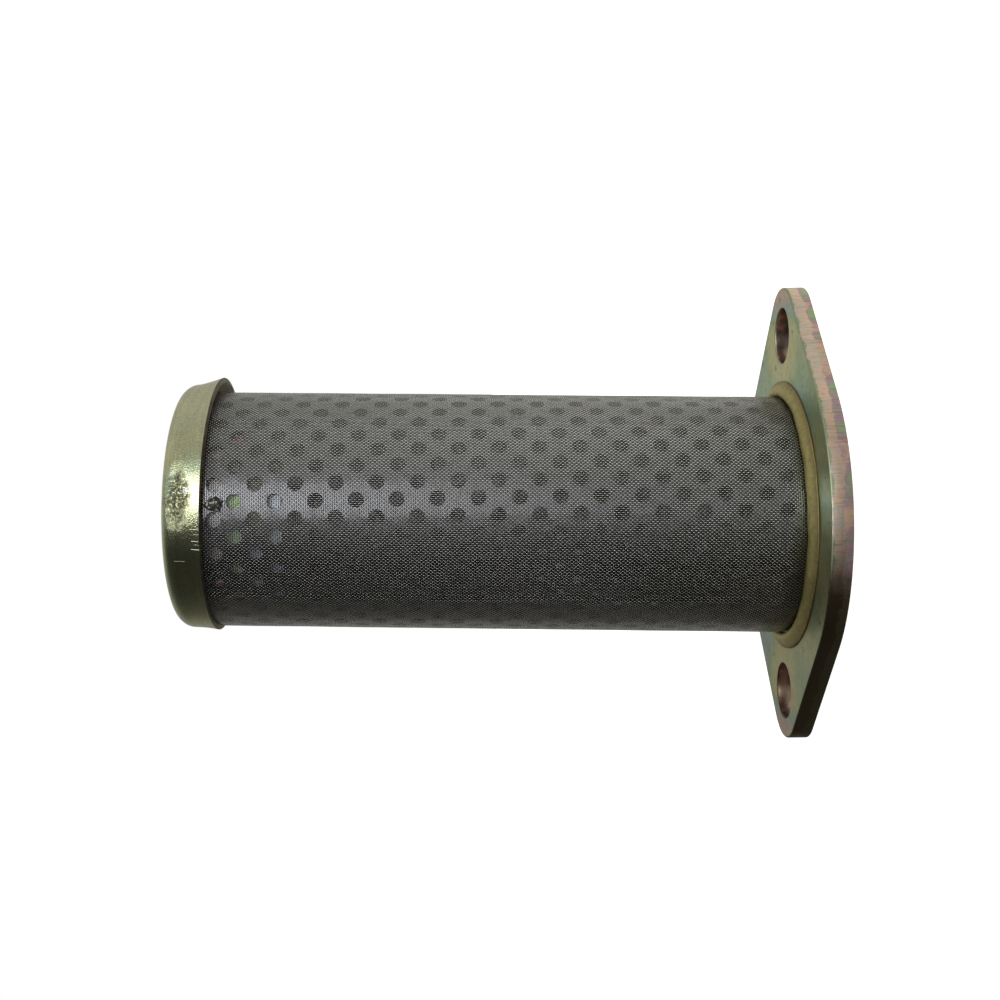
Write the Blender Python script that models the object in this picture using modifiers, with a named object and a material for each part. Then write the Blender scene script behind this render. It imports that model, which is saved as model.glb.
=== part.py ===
"""Suction strainer of a transmission: a flanged, perforated tube in wire cloth, closed by a drawn cap.

It stands on the mounting face of its flange, which is the face bolted to the housing. The origin is
the centre of that face, +Z runs up the tube towards the cap, and X is the long axis of the flange.
The tube was welded a little out of square, so all that belongs to it hangs on one leaning empty.
Lengths are in metres.
"""

import math

import bmesh
import bpy
from mathutils import Matrix, Vector

# Flange: a lozenge plate with two bolt holes
FLANGE_THICKNESS = 0.0040
FLANGE_MIDDLE_RADIUS = 0.0342
FLANGE_END_RADIUS = 0.00955
FLANGE_EDGE_BREAK = 0.0003
BOLT_SPACING = 0.0720
BOLT_HOLE_RADIUS = 0.0055

# Gap kept between two pieces that touch
CLEARANCE = 0.0003

# Tube: perforated sheet, rolled up and let into the flange
STRAINER_LENGTH = 0.1137
TUBE_LEAN = math.radians(1.8)
TUBE_RADIUS = 0.0230
TUBE_WALL = 0.0010
TUBE_SEAT_DEPTH = 0.0025
WINDOWS_ROUND = 12
WINDOW_ROWS = 8
WINDOW_MARGIN = 0.0125
TUBE_WINDOW_RADIUS = 0.0030

# Wire cloth: wrapped once round the tube, with its edges lapped
CLOTH_THICKNESS = 0.00035
CLOTH_RELIEF = 0.0001
CLOTH_LAP_ANGLE = math.radians(-140)
CLOTH_LAP_WIDTH = 0.0085
CLOTH_WINDOW_RADIUS = 0.0026
CLOTH_INTO_CAP = 0.0007
CLOTH_ABOVE_FLANGE = 0.0006

# Weld bead that holds the tube and the cloth on the flange
BEAD_WIDTH = 0.0030
BEAD_HEIGHT = 0.0016

# Cap: a drawn cup with a flared skirt, pressed on a little off centre
CAP_WALL = 0.0010
CAP_CORNER_RADIUS = 0.0030
CAP_STRAIGHT = 0.0005
CAP_FLARE = 0.0014
CAP_FLARE_LENGTH = 0.0042
CAP_OFFSET = 0.0004
CAP_TILT = math.radians(0.6)

# Band inside the closed end of the tube, which backs the spot welds of the cap
BAND_WALL = 0.0008
BAND_BELOW_RIM = 0.0140

# Tack welds between the skirt of the cap and the cloth
TACK_COUNT = 3
TACK_FIRST_ANGLE = math.radians(-85)
TACK_LENGTH = 0.0032
TACK_WIDTH = 0.0016
TACK_HEIGHT = 0.0008

# Facets of the round pieces
ROUND_STEPS = 48
OUTLINE_STEPS = 14
CORNER_STEPS = 4

BORE_RADIUS = TUBE_RADIUS + CLEARANCE
CLOTH_RADIUS = TUBE_RADIUS + CLEARANCE + CLOTH_THICKNESS + CLOTH_RELIEF
BEAD_INNER_RADIUS = CLOTH_RADIUS + CLOTH_THICKNESS + CLEARANCE
CAP_INNER_RADIUS = TUBE_RADIUS + CAP_OFFSET + CLEARANCE
CAP_RADIUS = CAP_INNER_RADIUS + CAP_WALL
CAP_DEPTH = CAP_CORNER_RADIUS + CAP_STRAIGHT + CAP_FLARE_LENGTH
CAP_TILT_REACH = CAP_RADIUS * math.sin(CAP_TILT)
TUBE_TOP = STRAINER_LENGTH + CAP_DEPTH - CAP_CORNER_RADIUS - CAP_TILT_REACH


def clear_scene():
    for item in list(bpy.data.objects):
        bpy.data.objects.remove(item)


def new_collection(name):
    collection = bpy.data.collections.new(name)
    bpy.context.scene.collection.children.link(collection)
    return collection


def metal(name, colour, roughness, metallic=1.0):
    material = bpy.data.materials.new(name)
    material.use_nodes = True
    shader = material.node_tree.nodes["Principled BSDF"]
    shader.inputs["Base Color"].default_value = (*colour, 1.0)
    shader.inputs["Roughness"].default_value = roughness
    shader.inputs["Metallic"].default_value = metallic
    return material


def new_piece(name, mesh, material, parent=None):
    piece = bpy.data.objects.new(name, mesh)
    PARTS.objects.link(piece)
    mesh.materials.clear()
    mesh.materials.append(material)
    mesh.shade_smooth()
    mesh.set_sharp_from_angle(angle=math.radians(35))
    piece.parent = parent
    return piece


def new_cutter(name, radius, depth, location):
    """A hidden upright cylinder that cuts a hole."""
    bpy.ops.mesh.primitive_cylinder_add(vertices=ROUND_STEPS, radius=radius, depth=depth, location=location)
    cutter = bpy.context.object
    cutter.name = name
    cutter.hide_render = True
    cutter.display_type = "WIRE"
    for collection in list(cutter.users_collection):
        collection.objects.unlink(cutter)
    CUTTERS.objects.link(cutter)
    return cutter


def cut(piece, cutter):
    modifier = piece.modifiers.new(cutter.name, "BOOLEAN")
    modifier.operation = "DIFFERENCE"
    modifier.solver = "EXACT"
    modifier.object = cutter


def thicken(piece, wall):
    """Gives an open shell its wall, on its inner side."""
    modifier = piece.modifiers.new("Wall", "SOLIDIFY")
    modifier.thickness = wall
    modifier.offset = -1.0


def turned(name, profile, material, parent, closed):
    """A piece turned about its own Z from a profile of (radius, height) points, outer side first."""
    bm = bmesh.new()
    points = [bm.verts.new((radius, 0.0, height)) for radius, height in profile]
    for first, second in zip(points, points[1:]):
        bm.edges.new((first, second))
    if closed:
        bm.edges.new((points[-1], points[0]))
    mesh = bpy.data.meshes.new(name)
    bm.to_mesh(mesh)
    bm.free()
    piece = new_piece(name, mesh, material, parent)
    modifier = piece.modifiers.new("Turn", "SCREW")
    modifier.axis = "Z"
    modifier.angle = math.tau
    modifier.steps = ROUND_STEPS
    modifier.render_steps = ROUND_STEPS
    modifier.use_merge_vertices = True
    modifier.merge_threshold = 0.00001
    modifier.use_smooth_shade = True
    return piece


def arc(centre, radius, start, end, steps):
    """Points (x, y) on an arc, both ends included."""
    turns = [start + (end - start) * step / steps for step in range(steps + 1)]
    return [(centre[0] + radius * math.cos(turn), centre[1] + radius * math.sin(turn)) for turn in turns]


def flange_outline():
    """A round middle and two round ends, joined by straight tangents."""
    reach = BOLT_SPACING / 2
    tangent = math.acos((FLANGE_MIDDLE_RADIUS - FLANGE_END_RADIUS) / reach)
    points = arc((reach, 0.0), FLANGE_END_RADIUS, -tangent, tangent, OUTLINE_STEPS)
    points += arc((0.0, 0.0), FLANGE_MIDDLE_RADIUS, tangent, math.pi - tangent, OUTLINE_STEPS)
    points += arc((-reach, 0.0), FLANGE_END_RADIUS, math.pi - tangent, math.pi + tangent, OUTLINE_STEPS)
    points += arc((0.0, 0.0), FLANGE_MIDDLE_RADIUS, math.pi + tangent, math.tau - tangent, OUTLINE_STEPS)
    return points


def build_flange(material):
    curve = bpy.data.curves.new("mounting_flange", "CURVE")
    curve.dimensions = "2D"
    curve.fill_mode = "BOTH"
    curve.extrude = FLANGE_THICKNESS / 2
    outline = flange_outline()
    spline = curve.splines.new("POLY")
    spline.points.add(len(outline) - 1)
    for point, (x, y) in zip(spline.points, outline):
        point.co = (x, y, 0.0, 1.0)
    spline.use_cyclic_u = True
    guide = bpy.data.objects.new("flange_outline", curve)
    guide.location.z = FLANGE_THICKNESS / 2
    PARTS.objects.link(guide)
    bpy.context.view_layer.update()
    graph = bpy.context.evaluated_depsgraph_get()
    mesh = bpy.data.meshes.new_from_object(guide.evaluated_get(graph))
    place = guide.matrix_world.copy()
    bpy.data.objects.remove(guide)
    bm = bmesh.new()
    bm.from_mesh(mesh)
    bmesh.ops.remove_doubles(bm, verts=bm.verts, dist=0.000001)
    bmesh.ops.dissolve_limit(bm, angle_limit=math.radians(1), verts=bm.verts, edges=bm.edges)
    bm.to_mesh(mesh)
    bm.free()
    flange = new_piece("mounting_flange", mesh, material)
    flange.matrix_world = place
    edges = flange.modifiers.new("Broken edges", "BEVEL")
    edges.width = FLANGE_EDGE_BREAK
    edges.segments = 1
    edges.limit_method = "ANGLE"
    edges.angle_limit = math.radians(60)
    depth = FLANGE_THICKNESS * 3
    middle = FLANGE_THICKNESS / 2
    cut(flange, new_cutter("suction_bore", BORE_RADIUS, depth, (0.0, 0.0, middle)))
    for side, sign in (("left", -1), ("right", 1)):
        place = (sign * BOLT_SPACING / 2, 0.0, middle)
        cut(flange, new_cutter(f"bolt_hole_{side}", BOLT_HOLE_RADIUS, depth, place))
    return flange


def build_weld_bead(material):
    """A half-round bead lying on the flange, round the foot of the cloth."""
    centre = (BEAD_INNER_RADIUS + BEAD_WIDTH / 2, FLANGE_THICKNESS + CLEARANCE)
    points = []
    steps = 2 * CORNER_STEPS
    for step in range(steps + 1):
        turn = math.pi * step / steps
        radius = centre[0] - math.cos(turn) * BEAD_WIDTH / 2
        points.append((radius, centre[1] + math.sin(turn) * BEAD_HEIGHT))
    return turned("weld_bead", points, material, None, closed=True)


def place_window_rows(bm, foot, top):
    """Moves the rings between foot and top to the heights of the rows, and gives each row's vertices."""
    evenly = (top - foot) / (WINDOW_ROWS + 1)
    pitch = (STRAINER_LENGTH - 2 * WINDOW_MARGIN) / (WINDOW_ROWS - 1)
    rows = {row: [] for row in range(WINDOW_ROWS)}
    for vertex in bm.verts:
        row = round((vertex.co.z - foot) / evenly) - 1
        if row in rows:
            vertex.co.z = WINDOW_MARGIN + row * pitch
            rows[row].append(vertex)
    return rows


def perforated_shell(radius, foot, top, divisions, window_radius):
    """An open tube with staggered rows of eight-sided windows, and the vertices on their rims."""
    bm = bmesh.new()
    length = top - foot
    middle = Matrix.Translation((0.0, 0.0, foot + length / 2))
    bmesh.ops.create_cone(
        bm, cap_ends=False, segments=divisions, radius1=radius, radius2=radius, depth=length, matrix=middle
    )
    ends = set(bm.verts)
    upright = [edge for edge in bm.edges if abs(edge.verts[0].co.z - edge.verts[1].co.z) > length / 2]
    bmesh.ops.subdivide_edges(bm, edges=upright, cuts=WINDOW_ROWS, use_grid_fill=True)
    spacing = divisions // WINDOWS_ROUND
    crossings = []
    for row, vertices in place_window_rows(bm, foot, top).items():
        for vertex in vertices:
            turn = round(math.atan2(vertex.co.y, vertex.co.x) / math.tau * divisions)
            if (turn + row * spacing // 2) % spacing == 0:
                crossings.append(vertex)
    # This profile puts the middle vertex of each corner on the circle of the window
    round_profile = 1.5 - math.sqrt(2.0)
    made = bmesh.ops.bevel(
        bm,
        geom=crossings,
        offset=window_radius,
        offset_type="OFFSET",
        segments=2,
        profile=round_profile,
        affect="VERTICES",
        material=-1,
    )
    bmesh.ops.delete(bm, geom=made["faces"], context="FACES")
    rims = {vertex for edge in bm.edges if edge.is_boundary for vertex in edge.verts} - ends
    return bm, rims


def build_core_tube(material, axis):
    divisions = WINDOWS_ROUND * 2
    bm, _rims = perforated_shell(TUBE_RADIUS, -TUBE_SEAT_DEPTH, TUBE_TOP, divisions, TUBE_WINDOW_RADIUS)
    mesh = bpy.data.meshes.new("core_tube")
    bm.to_mesh(mesh)
    bm.free()
    tube = new_piece("core_tube", mesh, material, axis)
    thicken(tube, TUBE_WALL)
    return tube


def build_mesh_sleeve(material, axis):
    """Wire cloth: it sinks a little round each window, and stands proud where its edges lap."""
    divisions = WINDOWS_ROUND * 4
    top = STRAINER_LENGTH + CLOTH_INTO_CAP
    bm, rims = perforated_shell(CLOTH_RADIUS, CLOTH_ABOVE_FLANGE, top, divisions, CLOTH_WINDOW_RADIUS)
    lap_half_angle = CLOTH_LAP_WIDTH / CLOTH_RADIUS / 2
    for vertex in bm.verts:
        across = Vector((vertex.co.x, vertex.co.y))
        turn = math.atan2(across.y, across.x) - CLOTH_LAP_ANGLE
        off_lap = abs(math.remainder(turn, math.tau))
        radius = CLOTH_RADIUS
        if vertex in rims:
            radius -= CLOTH_RELIEF
        if off_lap < lap_half_angle:
            radius += CLOTH_THICKNESS
        across = across.normalized() * radius
        vertex.co.x, vertex.co.y = across
        # The foot was trimmed level with the flange, not square to the tube
        if vertex.co.z < CLOTH_ABOVE_FLANGE + CLOTH_THICKNESS:
            vertex.co.z += vertex.co.x * math.tan(TUBE_LEAN)
    mesh = bpy.data.meshes.new("mesh_sleeve")
    bm.to_mesh(mesh)
    bm.free()
    sleeve = new_piece("mesh_sleeve", mesh, material, axis)
    thicken(sleeve, CLOTH_THICKNESS)
    return sleeve


def build_end_cap(material, axis):
    """The profile runs down the outside from the centre of the end to the rim of the skirt."""
    corner = (CAP_RADIUS - CAP_CORNER_RADIUS, CAP_DEPTH - CAP_CORNER_RADIUS)
    profile = [(0.0, CAP_DEPTH)]
    profile += arc(corner, CAP_CORNER_RADIUS, math.pi / 2, 0.0, CORNER_STEPS)
    profile.append((CAP_RADIUS, CAP_FLARE_LENGTH))
    for step in range(1, CORNER_STEPS + 1):
        along = step / CORNER_STEPS
        profile.append((CAP_RADIUS + CAP_FLARE * along * along, CAP_FLARE_LENGTH * (1.0 - along)))
    cap = turned("end_cap", profile, material, axis, closed=False)
    thicken(cap, CAP_WALL)
    cap.location = (CAP_OFFSET, 0.0, STRAINER_LENGTH)
    cap.rotation_euler.y = CAP_TILT
    return cap


def build_inner_band(material, axis):
    outer = TUBE_RADIUS - TUBE_WALL - CLEARANCE
    inner = outer - BAND_WALL
    low = STRAINER_LENGTH - BAND_BELOW_RIM
    profile = [(outer, TUBE_TOP), (outer, low), (inner, low), (inner, TUBE_TOP)]
    return turned("inner_band", profile, material, axis, closed=True)


def build_tack_welds(material, axis):
    """Flattened beads on the cloth at the rim of the cap, evenly spaced."""
    radius = CLOTH_RADIUS + CLEARANCE + TACK_HEIGHT / 2
    height = STRAINER_LENGTH - CLEARANCE - TACK_LENGTH / 2
    for index in range(TACK_COUNT):
        bm = bmesh.new()
        bmesh.ops.create_icosphere(bm, subdivisions=2, radius=0.5)
        bmesh.ops.scale(bm, vec=(TACK_HEIGHT, TACK_WIDTH, TACK_LENGTH), verts=bm.verts)
        mesh = bpy.data.meshes.new("tack_weld")
        bm.to_mesh(mesh)
        bm.free()
        tack = new_piece(f"tack_weld_{index + 1}", mesh, material, axis)
        turn = TACK_FIRST_ANGLE + math.tau * index / TACK_COUNT
        tack.location = (radius * math.cos(turn), radius * math.sin(turn), height)
        tack.rotation_euler.z = turn


clear_scene()
PARTS = new_collection("suction_strainer")
CUTTERS = new_collection("cutters")

yellow_zinc = metal("Yellow zinc plating", (0.62, 0.55, 0.33), 0.32)
weld_metal = metal("Plated weld bead", (0.42, 0.36, 0.20), 0.50)
sheet_steel = metal("Perforated sheet steel", (0.36, 0.35, 0.34), 0.45)
wire_cloth = metal("Stainless wire cloth", (0.40, 0.39, 0.37), 0.40)
scorched = metal("Scorched weld metal", (0.10, 0.09, 0.08), 0.60)

tube_axis = bpy.data.objects.new("tube_axis", None)
PARTS.objects.link(tube_axis)
tube_axis.location.z = FLANGE_THICKNESS
tube_axis.rotation_euler.y = TUBE_LEAN

build_flange(yellow_zinc)
build_weld_bead(weld_metal)
build_core_tube(sheet_steel, tube_axis)
build_mesh_sleeve(wire_cloth, tube_axis)
build_end_cap(yellow_zinc, tube_axis)
build_inner_band(yellow_zinc, tube_axis)
build_tack_welds(scorched, tube_axis)
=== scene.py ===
"""Looks of a transmission's suction strainer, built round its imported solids.

The strainer stands on the mounting face of its flange, with the tube going up. Everything is in metres,
in the solids' own frame: z is 0 at the mounting face, X runs through both bolt holes.
"""

import math

import bmesh
import bpy
from mathutils import Matrix, Vector, noise


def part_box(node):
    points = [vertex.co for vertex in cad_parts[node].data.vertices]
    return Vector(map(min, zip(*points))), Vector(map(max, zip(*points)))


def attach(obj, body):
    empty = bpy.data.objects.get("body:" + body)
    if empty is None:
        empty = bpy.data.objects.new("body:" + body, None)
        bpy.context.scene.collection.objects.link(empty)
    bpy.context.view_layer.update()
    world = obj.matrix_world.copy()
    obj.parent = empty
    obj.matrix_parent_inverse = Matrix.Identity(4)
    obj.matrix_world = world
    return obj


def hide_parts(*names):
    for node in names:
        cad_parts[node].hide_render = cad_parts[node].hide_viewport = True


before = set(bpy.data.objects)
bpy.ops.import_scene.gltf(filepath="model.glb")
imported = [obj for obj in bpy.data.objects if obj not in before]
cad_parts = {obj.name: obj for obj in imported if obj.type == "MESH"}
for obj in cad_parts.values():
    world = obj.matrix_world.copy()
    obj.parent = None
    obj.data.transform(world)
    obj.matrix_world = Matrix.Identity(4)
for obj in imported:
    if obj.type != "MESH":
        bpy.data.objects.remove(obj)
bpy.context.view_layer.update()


# Mounting flange
# A lozenge blanked out of 4 mm steel plate, with a suction bore and two bolt holes, and then yellow
# zinc plated. The chromate film gives it patches of straw, green, blue grey, peach and purple. Its
# cut edge shows a burnished band above and a torn band below, with small chips along the corner.

MILLIMETRE = 0.001
FLANGE_LOW, FLANGE_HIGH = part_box("mounting_flange")
PLATE = FLANGE_HIGH.z - FLANGE_LOW.z
MIDDLE_RADIUS = 34.2 * MILLIMETRE
END_RADIUS = 9.55 * MILLIMETRE
BOLT_REACH = 36.0 * MILLIMETRE
BOLT_HOLE_RADIUS = 5.5 * MILLIMETRE
BORE_RADIUS = 23.3 * MILLIMETRE
CORNER_BREAK = 0.28 * MILLIMETRE
ARC_STEPS = 40
FACE, CUT_EDGE, HOLE_WALL, BORE_WALL = range(4)


def add_node(tree, kind, inputs=None, **settings):
    """Adds a shader node. Its inputs take plain values or the sockets of other nodes."""
    added = tree.nodes.new("ShaderNode" + kind)
    for name, value in settings.items():
        setattr(added, name, value)
    for key, value in (inputs or {}).items():
        if isinstance(value, bpy.types.NodeSocket):
            tree.links.new(value, added.inputs[key])
        else:
            added.inputs[key].default_value = value
    return added


def maths(tree, operation, *values, clamp=False):
    """A Math node's result."""
    inputs = dict(enumerate(values))
    return add_node(tree, "Math", inputs, operation=operation, use_clamp=clamp).outputs[0]


def ramp(tree, factor, stops):
    """A Color Ramp's colour, with stops of (place, colour)."""
    added = add_node(tree, "ValToRGB", {"Fac": factor})
    elements = added.color_ramp.elements
    for place, _colour in stops[2:]:
        elements.new(place)
    for element, (place, colour) in zip(elements, stops):
        element.position = place
        element.color = (*colour, 1.0)
    return added.outputs["Color"]


def fade(tree, value, start, end):
    """0 before start and 1 after end, smooth between them. Start may lie above end."""
    inputs = {"Value": value, "From Min": start, "From Max": end}
    added = add_node(tree, "MapRange", inputs, interpolation_type="SMOOTHSTEP", clamp=True)
    return added.outputs["Result"]


def mix(tree, factor, first, second, blend="MIX"):
    """A colour mixed of two."""
    inputs = {0: factor, 6: first, 7: second}
    return add_node(tree, "Mix", inputs, data_type="RGBA", blend_type=blend).outputs[2]


def laid_over(tree, colour, over, mask, share):
    """A colour with another laid over it where the mask is 1, in that share."""
    return mix(tree, maths(tree, "MULTIPLY", mask, share), colour, (*over, 1.0))


def mix_value(tree, factor, first, second):
    """A value mixed of two."""
    return add_node(tree, "Mix", {0: factor, 2: first, 3: second}, data_type="FLOAT").outputs[0]


def toned(tree, share, colour, tone):
    """A colour multiplied by a grey tone, in that share."""
    grey = add_node(tree, "CombineColor", {0: tone, 1: tone, 2: tone}).outputs[0]
    return mix(tree, share, colour, grey, "MULTIPLY")


def axes_of(tree, vector):
    """A vector's X, Y and Z."""
    return add_node(tree, "SeparateXYZ", {0: vector}).outputs


def length_of(tree, vector):
    """A vector's length."""
    return add_node(tree, "VectorMath", {0: vector}, operation="LENGTH").outputs["Value"]


def stretched(tree, vector, scale):
    """A vector with its axes scaled. A pattern on it is drawn out along an axis of a small scale."""
    return add_node(tree, "Mapping", {"Vector": vector, "Scale": scale}).outputs[0]


def noise_value(tree, place, size, detail=3.0, roughness=0.5, distortion=0.0):
    """Noise from 0 to 1, with features of that size in metres."""
    inputs = {"Vector": place, "Scale": 1.0 / size, "Detail": detail, "Roughness": roughness}
    inputs["Distortion"] = distortion
    return add_node(tree, "TexNoise", inputs, normalize=True).outputs["Fac"]


def new_group(name, inputs, outputs):
    """A shader node group and its entry, from (name, kind, default) inputs and (name, kind) outputs."""
    group = bpy.data.node_groups.new(name, "ShaderNodeTree")
    for label, kind, default in inputs:
        socket = group.interface.new_socket(label, in_out="INPUT", socket_type="NodeSocket" + kind)
        if default is not None:
            socket.default_value = default
    for label, kind in outputs:
        group.interface.new_socket(label, in_out="OUTPUT", socket_type="NodeSocket" + kind)
    return group, group.nodes.new("NodeGroupInput")


def end_group(group, results):
    """Links the results to the group's outputs, in their order."""
    leaving = group.nodes.new("NodeGroupOutput")
    for index, socket in enumerate(results):
        group.links.new(socket, leaving.inputs[index])


def use_group(tree, group, inputs):
    """Places a node group and returns its output sockets by name."""
    return add_node(tree, "Group", inputs, node_tree=group).outputs


def new_material(name, roughness=0.4, metallic=1.0):
    """A material with its tree, its Principled BSDF and the Object coordinates."""
    material = bpy.data.materials.new(name)
    material.use_nodes = True
    tree = material.node_tree
    shader = tree.nodes["Principled BSDF"]
    shader.inputs["Roughness"].default_value = roughness
    shader.inputs["Metallic"].default_value = metallic
    place = add_node(tree, "TexCoord").outputs["Object"]
    return material, tree, shader, place


def feed(tree, shader, **sockets):
    """Links results to the shader's inputs, named with underscores."""
    for name, socket in sockets.items():
        tree.links.new(socket, shader.inputs[name.replace("_", " ")])


def bumped(tree, height, distance, strength=1.0):
    """A normal from a height of 0 to 1 that stands that many metres high."""
    inputs = {"Height": height, "Distance": distance, "Strength": strength}
    return add_node(tree, "Bump", inputs).outputs["Normal"]


def new_piece(name, bm, materials, stands_for):
    """A finished piece: it rides on the part and hides its plain solid."""
    mesh = bpy.data.meshes.new(name)
    bm.to_mesh(mesh)
    bm.free()
    for material in materials:
        mesh.materials.append(material)
    piece = bpy.data.objects.new(name, mesh)
    bpy.context.scene.collection.objects.link(piece)
    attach(piece, "root")
    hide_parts(*stands_for)
    return piece


# The film's thickness runs from 0 to 1 and passes through the colours of yellow zinc
film_group, film_in = new_group("Chromate film", [("Thickness", "Float", 0.2)], [("Color", "Color")])
film_colour = ramp(film_group, film_in.outputs["Thickness"], [
    (0.00, (0.74, 0.67, 0.40)),
    (0.16, (0.66, 0.66, 0.36)),
    (0.32, (0.46, 0.58, 0.36)),
    (0.48, (0.45, 0.58, 0.54)),
    (0.64, (0.62, 0.55, 0.46)),
    (0.76, (0.80, 0.58, 0.42)),
    (0.88, (0.56, 0.38, 0.44)),
    (1.00, (0.44, 0.60, 0.32)),
])
end_group(film_group, [film_colour])

# Fine grain of rolled and plated steel: a height, and a mask of small pits
grain_group, grain_in = new_group(
    "Plated grain",
    [("Vector", "Vector", None), ("Grain", "Float", 4000.0), ("Pits", "Float", 900.0)],
    [("Height", "Float"), ("Pits", "Float")],
)
grain_height, pit_noise = [
    add_node(grain_group, "TexNoise", {
        "Vector": grain_in.outputs["Vector"], "Scale": grain_in.outputs[scale], "Detail": detail,
        "Roughness": roughness,
    }).outputs["Fac"]
    for scale, detail, roughness in (("Grain", 4.0, 0.6), ("Pits", 2.0, 0.5))
]
end_group(grain_group, [grain_height, fade(grain_group, pit_noise, 0.66, 0.74)])


def flange_face_material():
    """The flat faces: straw round the bolt holes, green towards one edge, blue grey on the far side."""
    material, tree, shader, place = new_material("Zinc face", 0.42)
    axes = axes_of(tree, place)
    along = maths(tree, "ABSOLUTE", axes["X"])
    # The film thickens across the plate, in wide clouds and in a fine mottle
    clouds = noise_value(tree, place, 16 * MILLIMETRE, 3.0)
    mottle = noise_value(tree, place, 2.2 * MILLIMETRE, 4.0, 0.65)
    film = maths(tree, "MULTIPLY_ADD", axes["Y"], 4.2, -0.16)
    film = maths(tree, "MULTIPLY_ADD", clouds, 0.65, film)
    film = maths(tree, "MULTIPLY_ADD", mottle, 0.36, film)
    from_bolt = add_node(tree, "CombineXYZ", {
        0: maths(tree, "SUBTRACT", along, BOLT_REACH), 1: axes["Y"],
    }).outputs[0]
    near_bolt = fade(tree, length_of(tree, from_bolt), 16 * MILLIMETRE, 6 * MILLIMETRE)
    film = mix_value(tree, near_bolt, film, 0.08)
    tips = fade(tree, along, BOLT_REACH, BOLT_REACH + 8 * MILLIMETRE)
    film = mix_value(tree, tips, film, 0.70)
    colour = use_group(tree, film_group, {"Thickness": film})["Color"]
    grain = use_group(tree, grain_group, {"Vector": place, "Grain": 2600.0, "Pits": 420.0})
    colour = laid_over(tree, colour, (0.16, 0.13, 0.09), grain["Pits"], 0.5)
    # The film is patchy in depth too. Towards the bolt hole on the side of -X the face is darkened: painted
    # shade
    tone = maths(tree, "MULTIPLY_ADD", noise_value(tree, place, 1.1 * MILLIMETRE, 4.0, 0.7), 0.9, 0.45)
    colour = toned(tree, 0.8, colour, tone)
    minus_x_shade = maths(tree, "MULTIPLY", fade(tree, axes["X"], 0.0, -24 * MILLIMETRE), 0.6)
    colour = mix(tree, minus_x_shade, colour, (0.56, 0.54, 0.50, 1.0), "MULTIPLY")
    roughness = maths(tree, "MULTIPLY_ADD", noise_value(tree, place, 5 * MILLIMETRE), 0.22, 0.34)
    feed(tree, shader, Base_Color=colour, Roughness=roughness)
    feed(tree, shader, Normal=bumped(tree, grain["Height"], 0.035 * MILLIMETRE, 0.8))
    return material


def flange_edge_material():
    """The cut edge: a burnished peach band under the corner, and a torn, purple and green band below."""
    material, tree, shader, place = new_material("Zinc cut edge", 0.5)
    axes = axes_of(tree, place)
    level = maths(tree, "DIVIDE", axes["Z"], PLATE)
    waves = noise_value(tree, place, 4 * MILLIMETRE, 6.0, 0.7)
    level = maths(tree, "MULTIPLY_ADD", maths(tree, "SUBTRACT", waves, 0.5), 0.80, level)
    torn = fade(tree, level, 0.46, 0.36)
    rim = fade(tree, level, 0.86, 0.94)
    patches = noise_value(tree, place, 7 * MILLIMETRE, 6.0, 0.65, 0.4)
    film = maths(tree, "MULTIPLY_ADD", patches, 0.60, 0.42)
    lower_film = maths(tree, "MULTIPLY_ADD", patches, 1.30, 0.22, clamp=True)
    film = mix_value(tree, torn, film, lower_film)
    film = mix_value(tree, rim, film, 0.24)
    colour = use_group(tree, film_group, {"Thickness": film})["Color"]
    # Marks of the blanking tool run through the thickness
    strokes = noise_value(tree, stretched(tree, place, (1.0, 1.0, 0.08)), 0.30 * MILLIMETRE, 4.0, 0.7)
    grain = use_group(tree, grain_group, {"Vector": place, "Grain": 3000.0, "Pits": 700.0})
    colour = laid_over(tree, colour, (0.20, 0.15, 0.09), fade(tree, strokes, 0.46, 0.70), 0.40)
    colour = laid_over(tree, colour, (0.10, 0.10, 0.06), rim, 0.35)
    # On the side of -X the edge is painted dark brown
    ragged = maths(tree, "MULTIPLY_ADD", waves, 8 * MILLIMETRE, axes["X"])
    brown = fade(tree, ragged, -1 * MILLIMETRE, -9 * MILLIMETRE)
    colour = laid_over(tree, colour, (0.13, 0.10, 0.05), brown, 0.93)
    chip_zone = maths(tree, "MULTIPLY", fade(tree, level, 0.78, 0.90), grain["Pits"])
    colour = mix(tree, chip_zone, colour, (0.05, 0.05, 0.05, 1.0))
    height = maths(tree, "ADD", strokes, maths(tree, "MULTIPLY", grain["Height"], 0.4))
    height = maths(tree, "SUBTRACT", height, maths(tree, "MULTIPLY", chip_zone, 1.5))
    depth = bumped(tree, height, 0.06 * MILLIMETRE, 0.8)
    feed(tree, shader, Base_Color=colour, Normal=depth)
    feed(tree, shader, Roughness=maths(tree, "MULTIPLY_ADD", torn, 0.16, 0.44))
    return material


def flange_hole_material():
    """The walls of the holes, where the film is thick and reddish brown."""
    material, tree, shader, place = new_material("Zinc hole wall", 0.28)
    patches = noise_value(tree, place, 4 * MILLIMETRE, 3.0)
    film = maths(tree, "MULTIPLY_ADD", patches, 0.30, 0.66)
    colour = use_group(tree, film_group, {"Thickness": film})["Color"]
    colour = mix(tree, 0.65, colour, (0.50, 0.46, 0.45, 1.0), "MULTIPLY")
    colour = mix(tree, fade(tree, patches, 0.45, 0.60), colour, (0.24, 0.18, 0.16, 1.0))
    grain = use_group(tree, grain_group, {"Vector": place, "Grain": 2600.0, "Pits": 700.0})
    feed(tree, shader, Base_Color=colour, Normal=bumped(tree, grain["Height"], 0.03 * MILLIMETRE, 0.6))
    return material


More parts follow.
